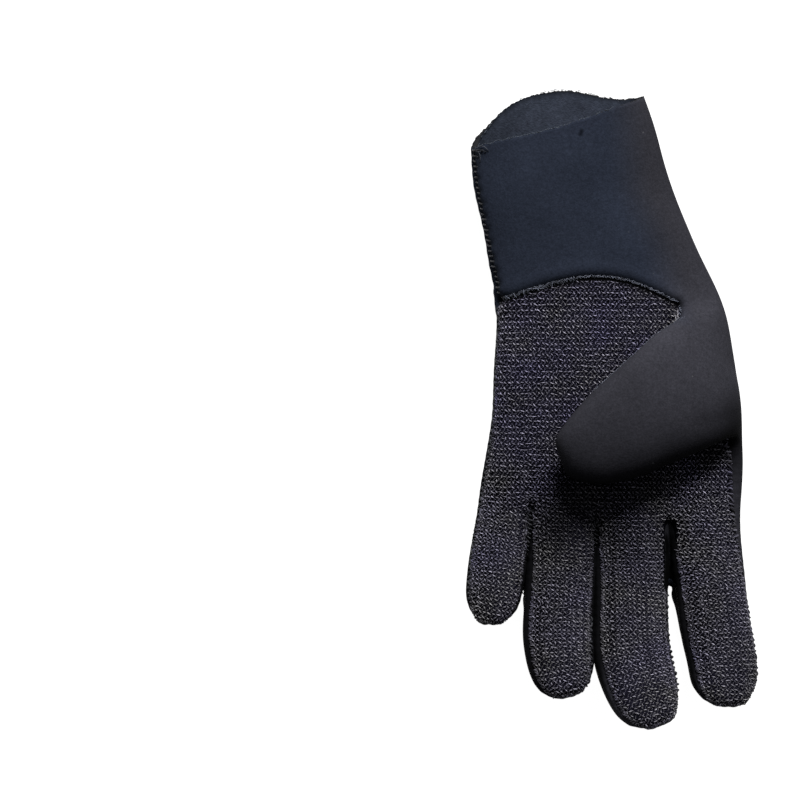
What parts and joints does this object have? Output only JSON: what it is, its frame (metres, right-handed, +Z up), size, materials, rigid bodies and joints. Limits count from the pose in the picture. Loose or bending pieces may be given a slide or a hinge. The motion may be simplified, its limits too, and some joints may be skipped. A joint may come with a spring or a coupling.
{
  "type": "aramid glove",
  "caption": "Left-hand long-cuff work glove of foam rubber with a knitted aramid palm, lying palm up with the thumb folded over.",
  "frame": {"origin": "middle of the bottom of the glove's box, on the surface that the back of the glove rests on", "axes": "+Z up out of the palm, +Y from the fingertips to the cuff, +X to the thumb side"},
  "size_m": [0.1184, 0.262, 0.0474],
  "materials": {
    "neoprene": "black foam rubber faced with fine jersey, matt with a faint blue cast, dusty",
    "aramid_knit": "coarse knobbly black aramid knit with short raised loops and fine fuzz, matt",
    "lining": "dark grey-blue jersey on the inner face of the foam rubber, matt",
    "thread": "grey and black sewing thread, slightly glossy twisted strands"
  },
  "bodies": {
    "root": {"back_panel": "neoprene", "palm_panel": "aramid_knit", "middle_finger_back": "neoprene", "ring_finger_back": "neoprene"}
  },
  "joints": []
}
